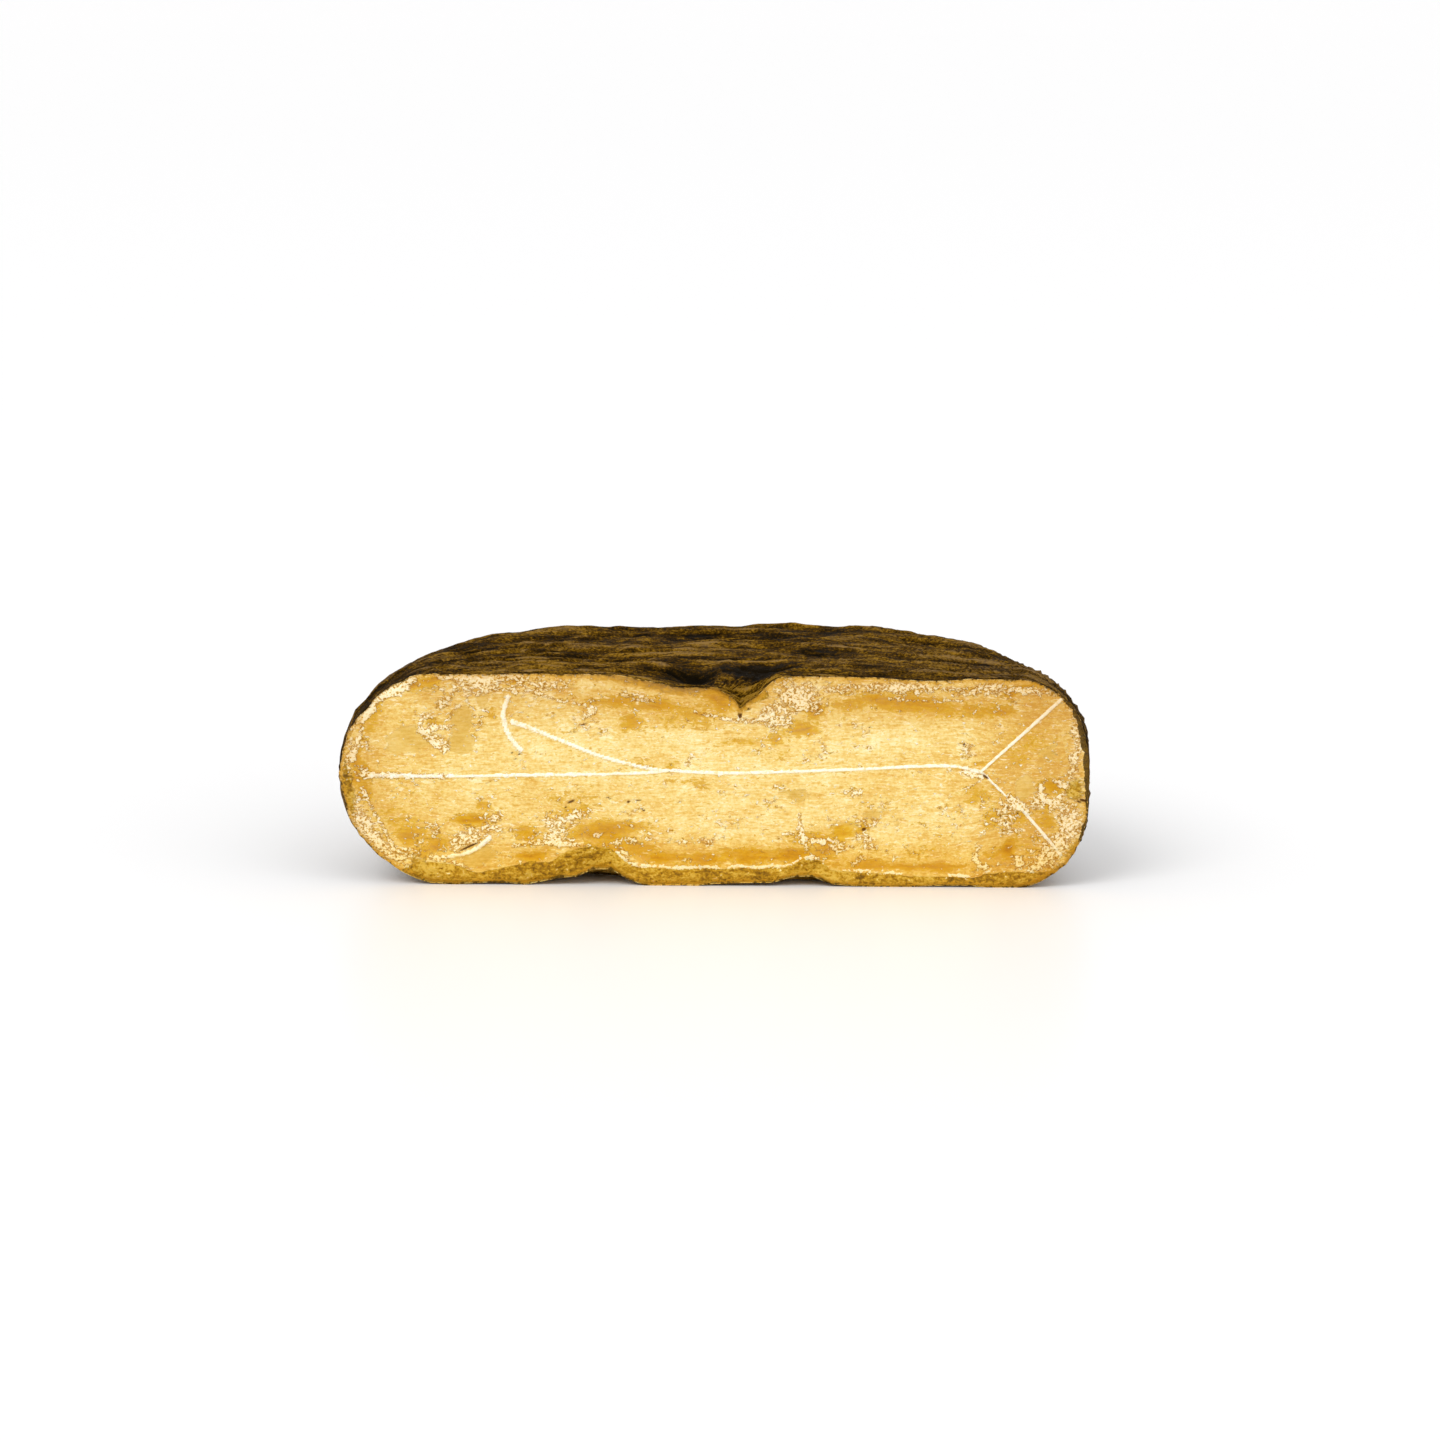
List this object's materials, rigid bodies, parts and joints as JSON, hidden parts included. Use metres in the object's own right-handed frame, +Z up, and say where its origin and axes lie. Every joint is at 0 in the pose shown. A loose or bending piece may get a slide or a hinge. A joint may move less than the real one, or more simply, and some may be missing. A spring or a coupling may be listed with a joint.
{
  "type": "half cheese wheel",
  "caption": "Half of an aged pulled-curd cheese wheel with a dark wrinkled rind, a rounded rim, a closing dimple on top and an upright cut face, lying on its flat underside.",
  "frame": {"origin": "middle of the half wheel's box, on the surface that its underside rests on", "axes": "+X along the cut, from the left end to the right end as seen by someone who looks at the cut face; the cut face looks along -Y; +Z up, through the wheel's height"},
  "size_m": [0.3, 0.1632, 0.0867],
  "materials": {
    "cheese": "matte wrinkled olive-brown rind; waxy straw-yellow paste with amber patches and a dry white bloom on the cut face"
  },
  "bodies": {
    "root": {"half_wheel": "cheese"}
  },
  "joints": []
}
